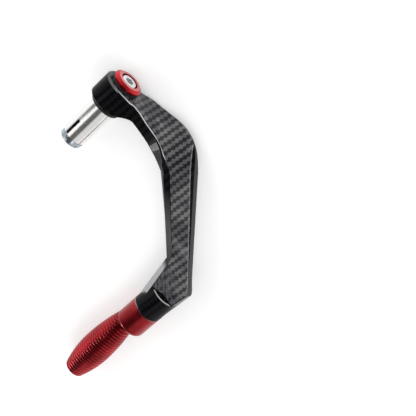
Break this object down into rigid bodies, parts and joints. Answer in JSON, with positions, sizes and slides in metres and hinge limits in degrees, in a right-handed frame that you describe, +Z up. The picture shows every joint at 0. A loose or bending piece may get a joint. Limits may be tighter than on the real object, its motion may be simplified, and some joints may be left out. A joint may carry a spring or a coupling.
{
  "type": "brake lever guard",
  "caption": "Curved bar-end lever guard with a twill-look blade, round hub, red cap, slotted expander plug and a ribbed red tip",
  "frame": {"origin": "on the bolt axis, in the plane where the end of the handlebar stops against the rubber ring", "axes": "X along the handlebar from the hub towards the rider's hand, Y forward, Z up; this is the guard for the bar's left end"},
  "size_m": [0.1696, 0.1312, 0.0247],
  "materials": {
    "arm": "dark woven twill pattern under clear gloss",
    "red_anodised": "satin red anodised",
    "black_rubber": "matt black",
    "bolt_steel": "bright plated",
    "bright_aluminium": "turned and polished",
    "zinc_steel": "blue zinc plated"
  },
  "bodies": {
    "root": {"guard_arm": "arm", "grip_tip": "red_anodised", "end_cap": "red_anodised", "cap_ring": "black_rubber", "clamp_bolt": "bolt_steel", "expander_sleeve": "bright_aluminium", "expander_nut": "zinc_steel", "rubber_ring": "black_rubber", "tip_stud": "bolt_steel"}
  },
  "joints": []
}
